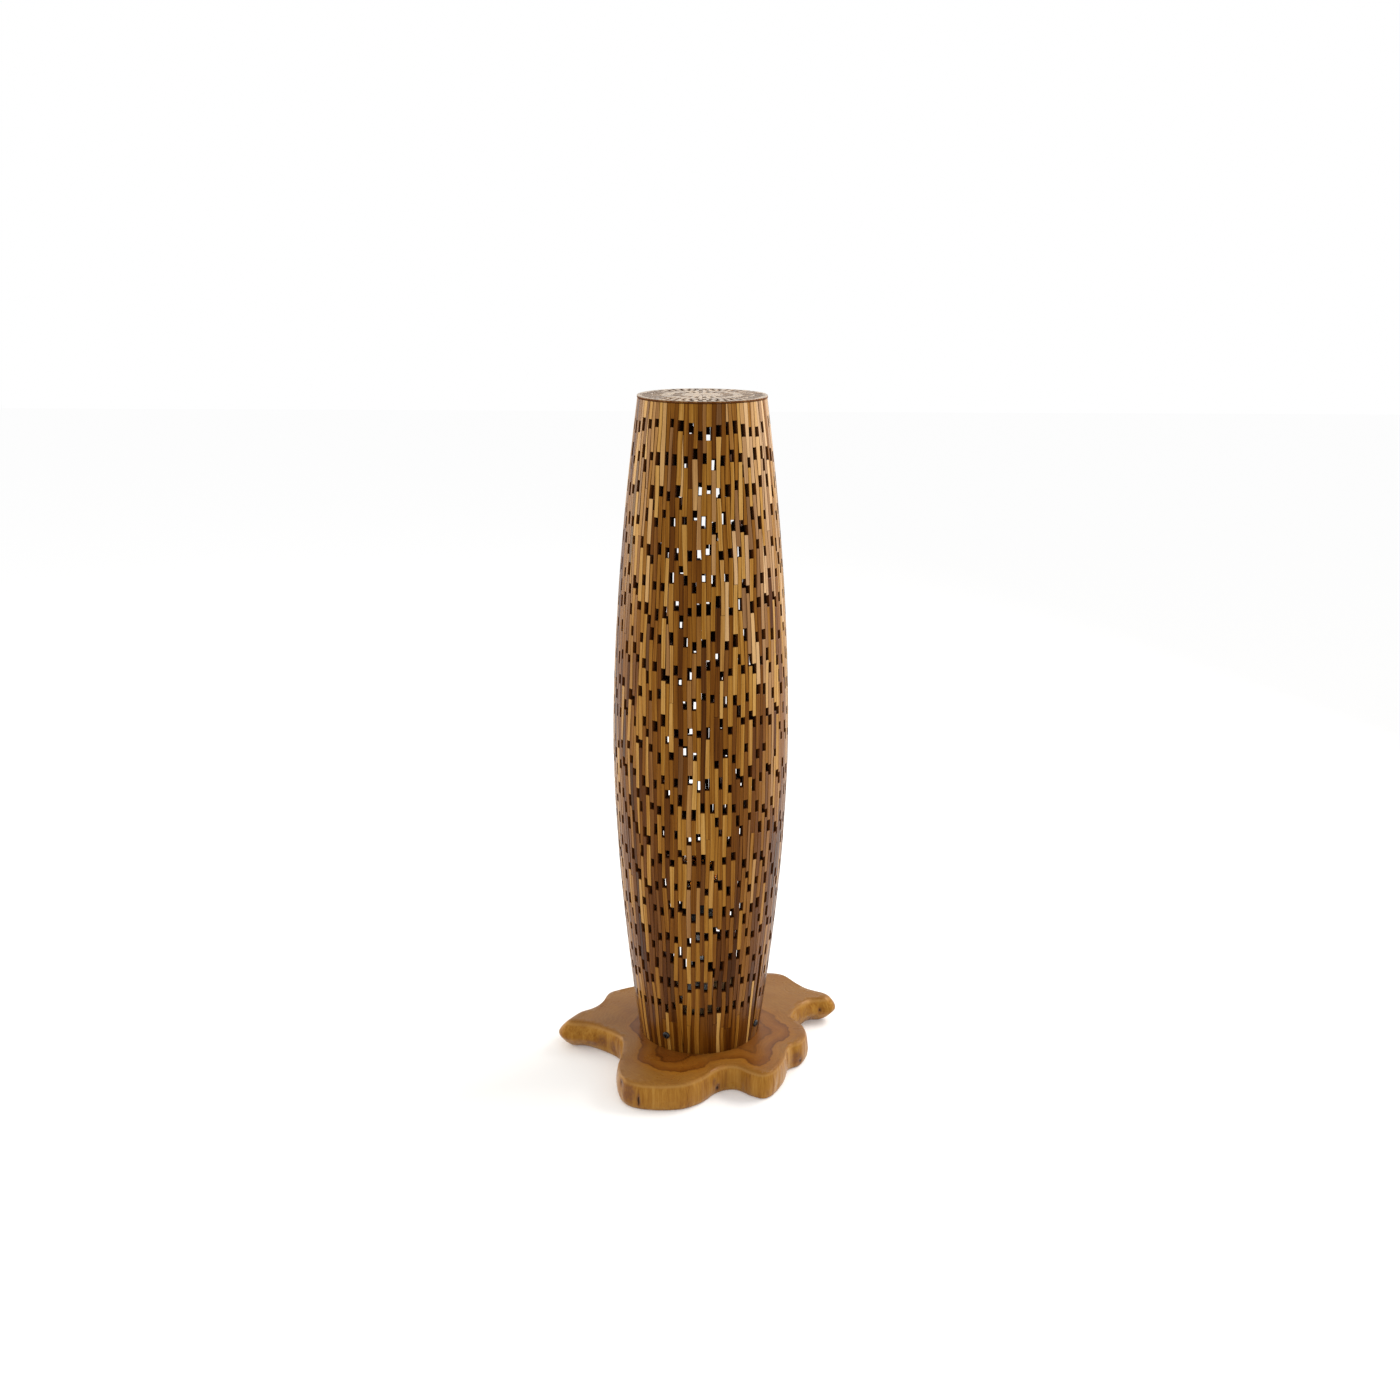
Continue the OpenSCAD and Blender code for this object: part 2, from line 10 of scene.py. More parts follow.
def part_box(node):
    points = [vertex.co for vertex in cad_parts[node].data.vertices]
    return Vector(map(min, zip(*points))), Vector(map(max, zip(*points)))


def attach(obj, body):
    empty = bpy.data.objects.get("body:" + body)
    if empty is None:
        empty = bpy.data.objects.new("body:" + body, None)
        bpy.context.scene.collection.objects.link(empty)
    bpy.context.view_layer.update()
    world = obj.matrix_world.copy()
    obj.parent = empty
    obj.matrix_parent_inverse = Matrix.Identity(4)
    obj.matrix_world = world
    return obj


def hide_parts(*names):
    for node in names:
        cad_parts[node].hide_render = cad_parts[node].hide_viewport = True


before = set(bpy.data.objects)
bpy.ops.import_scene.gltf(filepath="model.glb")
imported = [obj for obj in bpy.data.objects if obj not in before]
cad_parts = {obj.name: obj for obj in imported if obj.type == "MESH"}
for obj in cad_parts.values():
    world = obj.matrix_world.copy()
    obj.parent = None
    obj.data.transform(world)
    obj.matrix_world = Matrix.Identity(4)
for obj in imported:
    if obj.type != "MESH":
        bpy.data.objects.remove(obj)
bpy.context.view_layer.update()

LUCK = random.Random(258)


# ---------------------------------------------------------------- camera, light and floor

# The camera that was fitted to the photo
CAMERA_EYE = (-0.0014, -2.087, 1.204)
CAMERA_LENS = 38.84        # mm, on a 36 mm sensor
CAMERA_DROP = 17.02        # degrees below level
CAMERA_ROLL = 0.26         # degrees
FLOOR_HALF = 9.0           # half the floor's side
FLOOR_GAP = 0.0004         # keeps the floor clear of the slab's underside


def look(eye, target):
    return (Vector(target) - Vector(eye)).to_track_quat("-Z", "Y")


def add_camera():
    data = bpy.data.cameras.new("camera")
    data.sensor_width = 36.0
    data.lens = CAMERA_LENS
    data.clip_start, data.clip_end = 0.05, 60.0
    camera = bpy.data.objects.new("camera", data)
    bpy.context.scene.collection.objects.link(camera)
    camera.location = CAMERA_EYE
    pitch = Euler((math.radians(90 - CAMERA_DROP), 0, 0)).to_matrix()
    roll = Matrix.Rotation(math.radians(CAMERA_ROLL), 3, "Z")
    camera.rotation_euler = (pitch @ roll).to_euler()
    bpy.context.scene.camera = camera


def area_light(name, eye, target, size, watts, colour):
    data = bpy.data.lights.new(name, "AREA")
    data.shape = "RECTANGLE"
    data.size, data.size_y = size
    data.energy = watts
    data.color = colour
    light = bpy.data.objects.new(name, data)
    bpy.context.scene.collection.objects.link(light)
    light.location = eye
    light.rotation_mode = "QUATERNION"
    light.rotation_quaternion = look(eye, target)


def add_world():
    """An even white studio."""
    world = bpy.data.worlds.new("studio")
    bpy.context.scene.world = world
    world.use_nodes = True
    tree = world.node_tree
    tree.nodes.clear()
    out = tree.nodes.new("ShaderNodeOutputWorld")
    shade = tree.nodes.new("ShaderNodeBackground")
    shade.inputs["Color"].default_value = (1.0, 1.0, 1.0, 1)
    shade.inputs["Strength"].default_value = 1.0
    tree.links.new(shade.outputs[0], out.inputs["Surface"])


def add_floor():
    bm = bmesh.new()
    bm.faces.new([bm.verts.new((x * FLOOR_HALF, y * FLOOR_HALF, -FLOOR_GAP))
                  for x, y in ((-1, -1), (1, -1), (1, 1), (-1, 1))])
    mesh = bpy.data.meshes.new("floor")
    bm.to_mesh(mesh)
    bm.free()
    floor = bpy.data.objects.new("floor", mesh)
    bpy.context.scene.collection.objects.link(floor)
    kit = Kit("studio_floor")
    kit.shader((0.84, 0.84, 0.84, 1), 0.9, level=0.0, Emission_Color=(1, 1, 1, 1), Emission_Strength=0.14)
    mesh.materials.append(kit.material)


# ---------------------------------------------------------------- materials

# Tint of what teak reflects head on; at a glancing angle the reflection stays white
WARM_SHEEN = (0.75, 0.42, 0.20, 1)
COAT_ROUGHNESS = 0.1


class Kit:
    """A material's node tree, with short calls for the nodes that the materials here share."""

    def __init__(self, name):
        self.material = bpy.data.materials.new(name)
        self.material.use_nodes = True
        self.tree = self.material.node_tree
        self.tree.nodes.clear()
        self.out = self.tree.nodes.new("ShaderNodeOutputMaterial")

    def node(self, kind, props=None, **sockets):
        made = self.tree.nodes.new("ShaderNode" + kind)
        for key, value in (props or {}).items():
            setattr(made, key, value)
        for key, value in sockets.items():
            self.feed(made, key.replace("_", " "), value)
        return made

    def feed(self, node, key, value):
        socket = node.inputs[int(key)] if key.isdigit() else node.inputs[key]
        if isinstance(value, bpy.types.NodeSocket):
            self.tree.links.new(value, socket)
        else:
            socket.default_value = value

    def attribute(self, name, output="Fac"):
        return self.node("Attribute", {"attribute_name": name}).outputs[output]

    def place(self):
        return self.node("TexCoord").outputs["Object"]

    def scaled(self, vector, scale, shift=(0, 0, 0)):
        made = self.node("Mapping", Vector=vector, Scale=scale, Location=shift)
        return made.outputs[0]

    def noise(self, vector, scale=1.0, detail=2.0, rough=0.5, twist=0.0):
        made = self.node("TexNoise", Vector=vector, Scale=scale, Detail=detail, Roughness=rough,
                         Distortion=twist)
        return made.outputs["Fac"]

    def math(self, kind, a, b=0.0):
        made = self.node("Math", {"operation": kind})
        self.feed(made, "0", a)
        self.feed(made, "1", b)
        return made.outputs[0]

    def ease(self, value, low, high, to_low=0.0, to_high=1.0):
        made = self.node("MapRange", {"interpolation_type": "SMOOTHSTEP"}, Value=value)
        for key, number in (("From Min", low), ("From Max", high), ("To Min", to_low), ("To Max", to_high)):
            made.inputs[key].default_value = number
        return made.outputs[0]

    def ramp(self, value, stops, kind="EASE"):
        made = self.node("ValToRGB", Fac=value)
        made.color_ramp.interpolation = kind
        elements = made.color_ramp.elements
        while len(elements) < len(stops):
            elements.new(0.5)
        for element, (position, colour) in zip(elements, stops):
            element.position = position
            element.color = (*colour, 1)
        return made.outputs["Color"]

    def mix(self, share, a, b, kind="MIX"):
        made = self.node("Mix", {"data_type": "RGBA", "blend_type": kind})
        for index, value in ((0, share), (6, a), (7, b)):
            if isinstance(value, tuple) and len(value) == 3:
                value = (*value, 1)
            self.feed(made, str(index), value)
        return made.outputs[2]

    def bump(self, height, depth, strength=1.0, after=None):
        made = self.node("Bump", Height=height, Distance=depth, Strength=strength)
        if after is not None:
            self.tree.links.new(after, made.inputs["Normal"])
        return made.outputs[0]

    def shader(self, colour, rough, metal=0.0, level=0.5, ior=1.5, normal=None, coat=0.0, **more):
        made = self.node("BsdfPrincipled", Roughness=rough, Metallic=metal)
        self.feed(made, "Base Color", colour)
        made.inputs["IOR"].default_value = ior
        made.inputs["Specular IOR Level"].default_value = level
        made.inputs["Coat Weight"].default_value = coat
        made.inputs["Coat Roughness"].default_value = COAT_ROUGHNESS
        if normal is not None:
            self.tree.links.new(normal, made.inputs["Normal"])
            if coat:
                self.tree.links.new(normal, made.inputs["Coat Normal"])
        for key, value in more.items():
            self.feed(made, key.replace("_", " "), value)
        self.tree.links.new(made.outputs[0], self.out.inputs["Surface"])
        return made


# Tones of the teak, from the darkest strip to the palest
STRIP_TONES = [
    (0.00, (0.022, 0.005, 0.0005)),
    (0.20, (0.056, 0.014, 0.0010)),
    (0.40, (0.112, 0.034, 0.0024)),
    (0.60, (0.190, 0.070, 0.0066)),
    (0.80, (0.315, 0.142, 0.0200)),
    (1.00, (0.480, 0.265, 0.0720)),
]


def strip_material(name, rough_low, rough_high, painted_sheen=0.0):
    """Lacquered teak strips, by four attributes: grain runs along each strip; tone and hue, which is how
    far a strip is mixed towards a paler colour, differ from strip to strip, at random and, high up and on
    the shade's right-hand side, as painted light; rim is 0 in the middle of the outer face, about 1 at its
    edges, where the joints are dark, and more on the sides and the inside, which are darkened as painted
    shade."""
    kit = Kit(name)
    grain = kit.attribute("grain", "Vector")
    rim = kit.attribute("rim")
    bands = kit.noise(kit.scaled(grain, (430, 7, 430)), detail=2.0, twist=0.4)
    streaks = kit.noise(kit.scaled(grain, (1900, 26, 1900)), detail=3.0, rough=0.6)
    pores = kit.noise(kit.scaled(grain, (5200, 210, 5200)), detail=1.0)
    tone = kit.attribute("tone")
    tone = kit.math("ADD", tone, kit.math("MULTIPLY", kit.math("SUBTRACT", bands, 0.5), 0.62))
    tone = kit.math("ADD", tone, kit.math("MULTIPLY", kit.math("SUBTRACT", streaks, 0.5), 0.34))
    colour = kit.ramp(tone, STRIP_TONES, "LINEAR")
    pale = kit.ramp(tone, [(0.25, (0.270, 0.140, 0.056)), (0.95, (0.66, 0.45, 0.27))], "LINEAR")
    # the paler colour that hue mixes in: pale strips at random, and painted light on the shade's upper
    # right side
    pale_and_painted_light = kit.mix(0.74, colour, pale)
    colour = kit.mix(kit.attribute("hue"), colour, pale_and_painted_light)
    colour = kit.mix(kit.ease(pores, 0.60, 0.72, 0.0, 0.4), colour, (0.16, 0.060, 0.016), "MULTIPLY")
    colour = kit.mix(kit.ease(rim, 0.84, 1.02, 0.0, 0.60), colour, (0.050, 0.016, 0.004))
    # painted shade: the sides and ends darken towards a dark brown, and the inside almost to black, where
    # shade falls in the windows and inside the shade
    colour = kit.mix(kit.ease(rim, 1.10, 1.26, 0.0, 0.85), colour, (0.105, 0.028, 0.004))
    colour = kit.mix(kit.ease(rim, 1.22, 1.56, 0.0, 0.92), colour, (0.016, 0.004, 0.001))
    # painted reflection: the lid's outer faces are mixed towards a pale grey-beige, the glancing sheen of a
    # bright room painted into the colour
    if painted_sheen:
        colour = kit.mix(kit.ease(rim, 0.97, 1.12, painted_sheen, 0.0), colour, (0.56, 0.505, 0.420))
    height = kit.math("ADD", kit.math("MULTIPLY", streaks, 0.6), kit.math("MULTIPLY", pores, -0.4))
    rough = kit.ease(streaks, 0.3, 0.7, rough_low, rough_high)
    rough = kit.math("ADD", rough, kit.ease(rim, 1.06, 1.20, 0.0, 0.5))
    kit.shader(colour, rough, level=0.5, ior=1.34, normal=kit.bump(height, 0.00005, 0.8),
               Specular_Tint=WARM_SHEEN)
    return kit.material


def slab_material():
    """Teak root sliced across: growth lines follow the outline (attribute ring, metres in from the edge),
    dark lines part sapwood from heartwood, and the walls are streaked from top to bottom."""
    kit = Kit("slab_teak_lacquered")
    place = kit.place()
    wall = kit.attribute("wall")
    wave = kit.math("SUBTRACT", kit.noise(place, 11.0, 4.0, 0.60, 0.8), 0.5)
    wobble = kit.math("SUBTRACT", kit.noise(place, 38.0, 3.0, 0.6, 0.4), 0.5)
    depth = kit.math("ADD", kit.attribute("ring"), kit.math("MULTIPLY", wave, 0.040))
    depth = kit.math("ADD", depth, kit.math("MULTIPLY", wobble, 0.012))
    figure = kit.ramp(kit.math("MULTIPLY", depth, 12.0), [
        (0.00, (0.260, 0.122, 0.024)),
        (0.16, (0.265, 0.118, 0.020)),
        (0.30, (0.300, 0.122, 0.014)),
        (0.335, (0.085, 0.022, 0.0020)),
        (0.37, (0.165, 0.050, 0.004)),
        (0.50, (0.240, 0.085, 0.008)),
        (0.60, (0.215, 0.070, 0.006)),
        (0.635, (0.070, 0.017, 0.0015)),
        (0.68, (0.150, 0.042, 0.004)),
        (1.00, (0.185, 0.056, 0.005)),
    ])
    swing = kit.math("ADD", kit.math("MULTIPLY", depth, 1750.0), kit.math("MULTIPLY", wobble, 8.0))
    lines = kit.math("MULTIPLY", kit.math("SINE", swing), kit.noise(place, 60.0, 2.0))
    blotch = kit.noise(place, 16.0, 4.0, 0.6, 0.8)
    top = kit.mix(kit.ease(blotch, 0.40, 0.78, 0.0, 0.40), figure, (0.310, 0.135, 0.026))
    drift = kit.noise(place, 10.0, 5.0, 0.65, 1.6)
    top = kit.mix(kit.ease(drift, 0.44, 0.70, 0.0, 0.45), top, (0.195, 0.064, 0.008))
    bend = kit.math("ADD", kit.math("MULTIPLY", depth, 560.0), kit.math("MULTIPLY", wave, 9.0))
    belts = kit.math("MULTIPLY", kit.math("SINE", bend), kit.noise(place, 26.0, 3.0))
    top = kit.mix(kit.math("MULTIPLY", kit.math("ABSOLUTE", belts), 0.45), top, (0.130, 0.042, 0.006))
    top = kit.mix(kit.math("MULTIPLY", kit.math("ABSOLUTE", lines), 0.42), top, (0.090, 0.030, 0.006))
    fibre = kit.noise(kit.scaled(place, (420, 420, 9)), 1.0, 4.0, 0.6, 0.2)
    broad = kit.noise(kit.scaled(place, (70, 70, 7)), 1.0, 3.0, 0.55, 0.5)
    side = kit.ramp(kit.math("ADD", kit.math("MULTIPLY", fibre, 0.45), kit.math("MULTIPLY", broad, 0.6)), [
        (0.30, (0.110, 0.036, 0.004)),
        (0.44, (0.230, 0.092, 0.011)),
        (0.58, (0.315, 0.145, 0.022)),
        (0.75, (0.400, 0.210, 0.046)),
    ], "LINEAR")
    colour = kit.mix(wall, top, side)
    # painted highlight: a pale band along the rounded top edge, where the wall meets the top
    arris_highlight = kit.math("MULTIPLY", wall, kit.math("SUBTRACT", 1.0, wall))
    colour = kit.mix(kit.math("MULTIPLY", arris_highlight, 1.5), colour, (0.440, 0.240, 0.075))
    speckle = kit.noise(place, 260.0, 3.0, 0.6)
    mark = kit.attribute("mark")
    knotty = kit.math("MULTIPLY", kit.ease(mark, 0.08, 0.70), kit.ease(speckle, 0.30, 0.62, 0.45, 0.95))
    colour = kit.mix(knotty, colour, (0.150, 0.058, 0.022))
    colour = kit.mix(kit.ease(mark, 0.88, 1.0), colour, (0.012, 0.004, 0.001))
    pores = kit.noise(kit.scaled(place, (900, 900, 60)), 1.0, 2.0, 0.6)
    colour = kit.mix(kit.ease(pores, 0.60, 0.74, 0.0, 0.35), colour, (0.30, 0.16, 0.08), "MULTIPLY")
    height = kit.math("ADD", kit.math("MULTIPLY", fibre, wall), kit.math("MULTIPLY", pores, -0.3))
    normal = kit.bump(height, 0.0004, 0.5)
    normal = kit.bump(kit.noise(place, 45.0, 3.0), 0.0007, 0.35, normal)
    rough = kit.ease(blotch, 0.3, 0.7, 0.26, 0.36)
    kit.shader(colour, rough, level=0.5, ior=1.40, normal=normal, Specular_Tint=WARM_SHEEN)
    return kit.material


def plinth_material():
    """Sawn and turned wood: growth rings about a heart beside the middle, and open fibres."""
    kit = Kit("plinth_wood_sawn")
    place = kit.place()
    sway = kit.noise(kit.scaled(place, (6, 6, 2)), 1.0, 2.0)
    spot = kit.node("VectorMath", {"operation": "LENGTH"})
    kit.feed(spot, "0", kit.scaled(place, (1, 1, 0), (0.035, 0.02, 0)))
    reach = kit.math("ADD", spot.outputs["Value"], kit.math("MULTIPLY", sway, 0.02))
    rings = kit.math("MULTIPLY", reach, 1500.0)
    rings = kit.math("MULTIPLY", kit.math("SINE", rings), kit.noise(place, 30.0, 2.0))
    colour = kit.ramp(kit.math("ADD", kit.math("MULTIPLY", rings, 0.34), 0.5), [
        (0.25, (0.36, 0.19, 0.07)), (0.60, (0.50, 0.30, 0.13)), (0.80, (0.56, 0.36, 0.18))], "LINEAR")
    fibre = kit.noise(kit.scaled(place, (700, 700, 30)), 1.0, 3.0, 0.6)
    colour = kit.mix(kit.ease(fibre, 0.45, 0.75, 0.0, 0.4), colour, (0.24, 0.12, 0.05))
    kit.shader(colour, 0.62, level=0.35, normal=kit.bump(fibre, 0.0003, 0.5))
    return kit.material


def metal_material(name, colour, rough, tint=None, metal=1.0):
    """Plated or painted metal: cloudy roughness, fine scratches and a darker tint in patches."""
    kit = Kit(name)
    place = kit.place()
    cloud = kit.noise(place, 90.0, 4.0, 0.6)
    lines = kit.noise(kit.scaled(place, (1800, 1800, 140)), 1.0, 3.0, 0.7)
    tint = tint or tuple(0.6 * channel for channel in colour)
    body = kit.mix(kit.ease(cloud, 0.35, 0.72, 0.0, 0.6), (*colour, 1), (*tint, 1))
    uneven = kit.math("ADD", kit.math("MULTIPLY", cloud, 0.22), kit.math("MULTIPLY", lines, 0.08))
    kit.shader(body, kit.math("ADD", uneven, rough - 0.13), metal=metal,
               normal=kit.bump(lines, 0.00005, 0.4))
    return kit.material


def moulded_material(name, colour, rough, grain=0.00006, level=0.5, coat=0.0):
    """Moulded plastic, glaze or rubber: fine texture, faint cloudiness and dust in it."""
    kit = Kit(name)
    place = kit.place()
    cloud = kit.noise(place, 55.0, 4.0, 0.6)
    fine = kit.noise(place, 1500.0, 2.0, 0.5)
    darker = tuple(0.88 * channel for channel in colour)
    body = kit.mix(kit.ease(cloud, 0.35, 0.7), (*colour, 1), (*darker, 1))
    uneven = kit.math("ADD", kit.math("MULTIPLY", cloud, 0.14), rough - 0.07)
    kit.shader(body, uneven, level=level, normal=kit.bump(fine, grain, 0.6), coat=coat)
    return kit.material


def blown_glass(name, colour, rough):
    """Clear glass with the faint waves and streaks of blowing."""
    kit = Kit(name)
    place = kit.place()
    waves = kit.noise(kit.scaled(place, (60, 60, 22)), 1.0, 2.0)
    film = kit.noise(place, 70.0, 3.0, 0.6)
    tint = kit.mix(kit.ease(film, 0.4, 0.8, 0.0, 0.4), (*colour, 1), tuple(0.8 * c for c in colour) + (1,))
    kit.shader(tint, kit.ease(film, 0.4, 0.8, rough, rough + 0.05), ior=1.5,
               normal=kit.bump(waves, 0.0003, 0.3), Transmission_Weight=1.0)
    return kit.material


# ---------------------------------------------------------------- mesh helpers

SAME_POINT = 1e-5     # points of a CAD mesh that are closer than this are one


def new_object(name, verts, faces, floats, vectors=None, sharp=32):
    """A mesh object that faces outwards, with attributes on its points, smooth up to sharp degrees."""
    mesh = bpy.data.meshes.new(name)
    mesh.from_pydata([tuple(v) for v in verts], [], faces)
    mesh.update()
    for key, values in floats.items():
        mesh.attributes.new(key, "FLOAT", "POINT").data.foreach_set("value", np.array(values, np.float32))
    for key, values in (vectors or {}).items():
        data = mesh.attributes.new(key, "FLOAT_VECTOR", "POINT").data
        data.foreach_set("vector", np.array(values, np.float32).ravel())
    bm = bmesh.new()
    bm.from_mesh(mesh)
    bmesh.ops.recalc_face_normals(bm, faces=bm.faces)
    bm.to_mesh(mesh)
    bm.free()
    mesh.polygons.foreach_set("use_smooth", [True] * len(mesh.polygons))
    mesh.set_sharp_from_angle(angle=math.radians(sharp))
    obj = bpy.data.objects.new(name, mesh)
    bpy.context.scene.collection.objects.link(obj)
    return obj


def islands(node):
    """The points of each separate solid in a CAD node, as arrays."""
    bm = bmesh.new()
    bm.from_mesh(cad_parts[node].data)
    bmesh.ops.remove_doubles(bm, verts=bm.verts, dist=SAME_POINT)
    found, seen = [], set()
    for start in bm.verts:
        if start in seen:
            continue
        stack, group = [start], []
        seen.add(start)
        while stack:
            vert = stack.pop()
            group.append(list(vert.co))
            for edge in vert.link_edges:
                other = edge.other_vert(vert)
                if other not in seen:
                    seen.add(other)
                    stack.append(other)
        found.append(np.array(group))
    bm.free()
    return found


def unit(v):
    return v / max(np.linalg.norm(v), 1e-12)


def quads(base, rings, around):
    """Faces between neighbouring rings of points, the first of which starts at base."""
    faces = []
    for k in range(rings - 1):
        a = base + k * around
        for i in range(around):
            j = (i + 1) % around
            faces.append((a + i, a + j, a + around + j, a + around + i))
    return faces


def closed_tube(base, rings, around):
    """The same, with a face at either end."""
    first = tuple(base + i for i in reversed(range(around)))
    last = tuple(base + (rings - 1) * around + i for i in range(around))
    return quads(base, rings, around) + [first, last]


# ---------------------------------------------------------------- strips of the shade and the lid

EDGE = 0.00028            # how far the strips' edges are broken
CLOSING = 0.00004         # how far each side of a strip is let out, to close the glue line up
STRAY = 0.0022            # how far the joints between the strips stray sideways
STRAY_PITCH = Vector((110, 110, 9))   # how often they stray, per metre along x, y and z
MERIDIAN = 4.0            # radius that the shade was sanded to from top to bottom, in metres
STATION = 0.014           # distance between the cross-sections of a strip
SHADE_UNEVEN = 0.00015    # how far the shade's strips stand out or tilt
LID_UNEVEN = 0.00005
LID_SUNK = 0.00013        # keeps the lid's uneven strips inside the CAD box
# Attribute rim round a cross-section: inner corners, right edge, middle of the outer face, left edge.
# Values past about 1.1 darken the sides and the inside as painted shade
RIM = [1.6, 1.6, 1.28, 0.93, 0.0, 0.93, 1.28]
# high rim values at the ends darken the end faces in the windows and at the lid's edge as painted shade
WINDOW_END = [1.6, 1.6, 1.26, 1.16, 1.12, 1.16, 1.26]
LID_END = [1.30, 1.30, 1.15, 1.02, 1.00, 1.02, 1.15]
BUTTON_REACH = 0.0035     # the lid's round middle piece is smaller than this
BUTTON_SIDES = 32
# the button's lower side is darkened as painted shade by its high rim values
BUTTON_RIM = (1.6, 1.12, 0.93, 0.0)
BUTTON_TONE, BUTTON_HUE = 0.35, 0.2
TURN = 2 * math.pi


def height_of(points):
    return points[:, 2]


def radius_of(points):
    return np.hypot(points[:, 0], points[:, 1])


def bearing_of(points):
    return math.atan2(points[:, 1].mean(), points[:, 0].mean())


def corner_grid(points, along, depth):
    """A strip's eight corners as [lower, upper][inner, outer][left, right]."""
    middle = points.mean(axis=0)
    aside = unit(np.array([-middle[1], middle[0], 0.0]))
    order = np.argsort(along(points), kind="stable")
    grid = []
    for chosen in (order[:4], order[-4:]):
        four = points[chosen]
        four = four[np.argsort(depth(four), kind="stable")]
        grid.append([pair[np.argsort(pair @ aside, kind="stable")] for pair in (four[:2], four[2:])])
    return np.array(grid)


def fanned(section):
    """A cross-section of a shade strip with its sides along the shade's radii. Their straying depends on
    where they are, so that neighbours stray alike."""
    inner, outer = section.mean(axis=1)
    half = (section[0][1] - section[0][0]) / 2
    aside = unit(half)
    half = half + aside * CLOSING
    spread = math.hypot(outer[0], outer[1]) / math.hypot(inner[0], inner[1])
    corners = np.array([[inner - half, inner + half], [outer - half * spread, outer + half * spread]])
    for pair in corners:
        for corner in pair:
            corner += aside * STRAY * noise.noise(Vector(corner) * STRAY_PITCH)
    return corners


def strip_rings(grid, fan, lift, tilt, end_rim):
    """Cross-sections of one strip from end to end, with rim and grain for each of their points."""
    outer = grid[:, 1].mean(axis=1)
    length = np.linalg.norm(outer[1] - outer[0])
    width = min(np.linalg.norm(grid[end][1][1] - grid[end][1][0]) for end in (0, 1))
    edge = min(EDGE, 0.3 * width)
    count = max(1, round(length / STATION))
    shares = [0.0, edge / length]
    shares += [k / count for k in range(1, count)]
    shares += [1 - edge / length, 1.0]
    rings, rims, grains = [], [], []
    for number, share in enumerate(shares):
        here = grid[0] * (1 - share) + grid[1] * share
        if fan:
            here = fanned(here)
        centre_in, centre_out = here[0].mean(axis=0), here[1].mean(axis=0)
        out = unit(centre_out - centre_in)
        half = (here[1][1] - here[1][0]) / 2
        across = unit(half)
        at_end = number in (0, len(shares) - 1)
        drop = edge if at_end else 0.0
        crown = length * length / (8 * MERIDIAN) * 4 * share * (1 - share) if fan else 0.0
        centre = centre_out + out * (crown + lift - drop)
        left = centre - half - out * tilt
        right = centre + half + out * tilt
        ring = [here[0][0], here[0][1], right - out * edge, right - across * edge, centre,
                left + across * edge, left - out * edge]
        rings += ring
        rims += end_rim if at_end else RIM
        reach = np.linalg.norm(half)
        thick = np.linalg.norm(centre_out - centre_in)
        run = share * length
        grains += [(-reach, run, -thick), (reach, run, -thick), (reach, run, -edge), (reach - edge, run, 0),
                   (0, run, 0), (edge - reach, run, 0), (-reach, run, -edge)]
    return rings, rims, grains, len(shares)


def button_rings(solid):
    """Rings of points up the lid's round middle piece and over its broken edge."""
    radius, low, high = radius_of(solid).max(), solid[:, 2].min(), solid[:, 2].max()
    points = []
    for r, z in ((radius, low), (radius, high - EDGE), (radius - EDGE, high), (radius / 3, high)):
        points += [(r * math.cos(a), r * math.sin(a), z)
                   for a in np.arange(BUTTON_SIDES) * TURN / BUTTON_SIDES]
    return points


def build_strips(name, node, along, depth, fan, tone_of, polish, end_rim, sunk=0.0):
    """Replaces a CAD node of plain strips by strips with broken edges. The shade's strips are fanned, and
    sanded to its curve from top to bottom."""
    solids = islands(node)
    buttons = [s for s in solids if radius_of(s).max() < BUTTON_REACH]
    solids = [s for s in solids if radius_of(s).max() >= BUTTON_REACH]
    solids.sort(key=lambda s: (round(along(s).min(), 4), round(bearing_of(s), 3)))
    grids = [corner_grid(s, along, depth) for s in solids]
    tones = tone_of(grids)
    uneven = SHADE_UNEVEN if fan else LID_UNEVEN
    verts, faces, rims, grains, tone, hue = [], [], [], [], [], []
    for grid, value in zip(grids, tones):
        lift = LUCK.uniform(-uneven, uneven) - sunk
        tilt = LUCK.uniform(-uneven, uneven)
        rings, rim, grain, count = strip_rings(grid, fan, lift, tilt, end_rim)
        faces += closed_tube(len(verts), count, len(RIM))
        verts += rings
        rims += rim
        shift = np.array([LUCK.uniform(-5, 5) for _ in range(3)])
        grains += [shift + g for g in grain]
        tone += [value[0]] * len(rings)
        hue += [value[1]] * len(rings)
    for solid in buttons:
        rings = button_rings(solid)
        faces += closed_tube(len(verts), len(BUTTON_RIM), BUTTON_SIDES)
        verts += rings
        for rim in BUTTON_RIM:
            rims += [rim] * BUTTON_SIDES
        tone += [BUTTON_TONE] * len(rings)
        hue += [BUTTON_HUE] * len(rings)
        grains += [(x, z, y) for x, y, z in rings]
    piece = new_object(name, verts, faces, {"rim": rims, "tone": tone, "hue": hue}, {"grain": grains})
    piece.data.materials.append(polish)
    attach(piece, "root")
    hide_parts(node)
    return piece


# The usual tone of the shade's strips at heights above the floor: low at the foot as painted shade, high
# towards the top as painted light
TONE_HEIGHTS = (0.05, 0.12, 0.35, 0.55, 0.80, 0.97)
USUAL_TONES = (0.42, 0.49, 0.48, 0.58, 0.62, 0.70)
LIKE_BELOW = 0.33     # share of the strips that look like the one below
VERY_PALE = 0.14      # share of the others that are far paler than is usual


